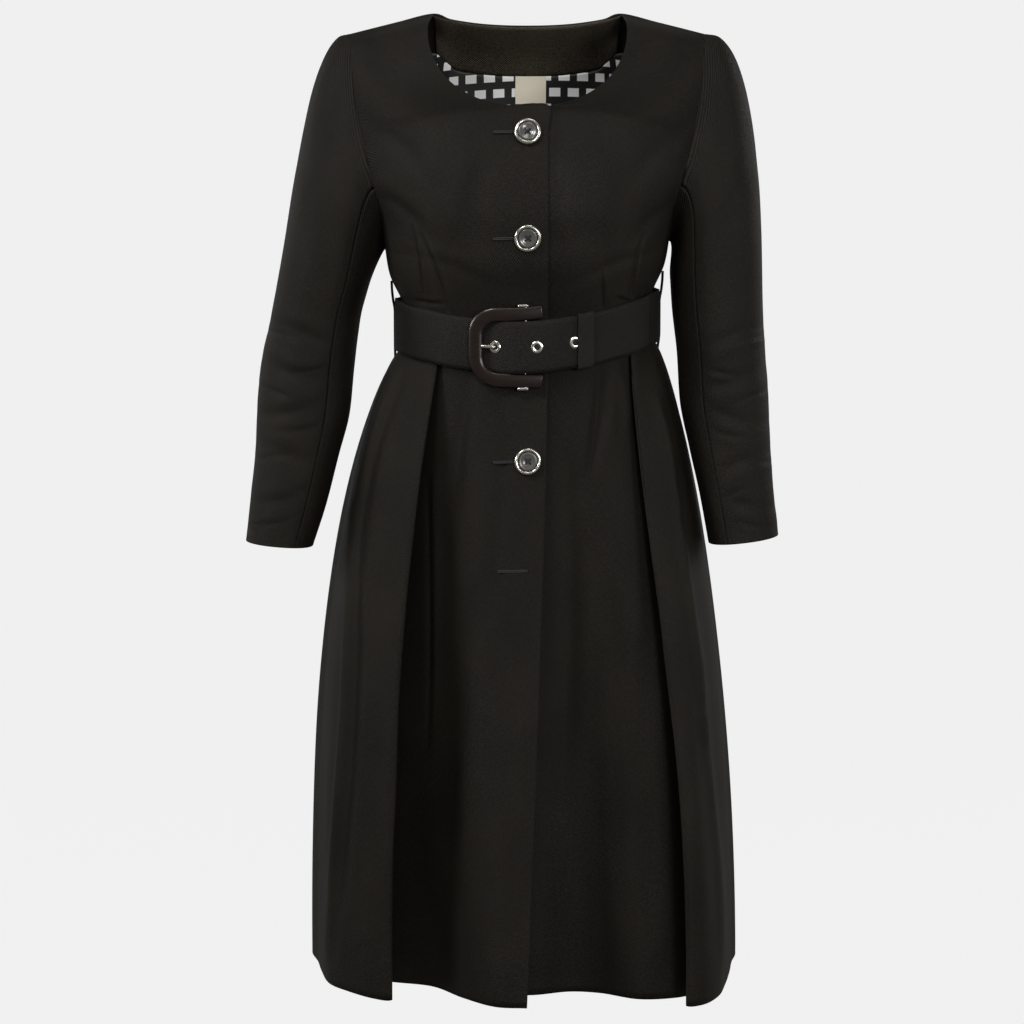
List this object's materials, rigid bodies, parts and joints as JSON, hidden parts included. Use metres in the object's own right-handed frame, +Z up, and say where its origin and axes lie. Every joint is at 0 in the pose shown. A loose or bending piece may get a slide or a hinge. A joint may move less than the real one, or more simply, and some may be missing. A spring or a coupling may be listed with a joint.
{
  "type": "belted coat",
  "caption": "Collarless knee-length black coat in its worn shape, with set-in sleeves, a pleated skirt, round buttons and a belt with a horn-look buckle.",
  "frame": {"origin": "midway between the shoulders, where a wearer carries the coat", "axes": "+Z up along the coat, -Y out of its front, +X towards the wearer's left"},
  "size_m": [0.5253, 0.3321, 0.9558],
  "materials": {
    "black_cloth": "matte woven",
    "lining": "smooth woven, black and white lattice",
    "label": "matte woven",
    "horn": "polished",
    "metal": "polished",
    "button_plastic": "polished"
  },
  "bodies": {
    "root": {"back_lining": "lining", "belt": "black_cloth", "belt_carrier_left": "black_cloth", "belt_carrier_right": "black_cloth", "belt_keeper": "black_cloth", "bodice_back": "black_cloth", "bodice_front_left": "black_cloth", "bodice_front_right": "black_cloth", "buckle_bar": "metal", "buckle_frame": "horn", "buckle_prong": "metal", "button_face_1": "button_plastic", "button_face_2": "button_plastic", "button_face_3": "button_plastic", "button_rim_1": "metal", "button_rim_2": "metal", "button_rim_3": "metal", "eyelet_1": "metal", "eyelet_2": "metal", "eyelet_3": "metal", "neck_facing": "black_cloth", "neck_label": "label", "skirt_back": "black_cloth", "skirt_front_left": "black_cloth", "skirt_front_right": "black_cloth", "sleeve_under_left": "black_cloth", "sleeve_under_right": "black_cloth", "sleeve_upper_left": "black_cloth", "sleeve_upper_right": "black_cloth"}
  },
  "joints": []
}
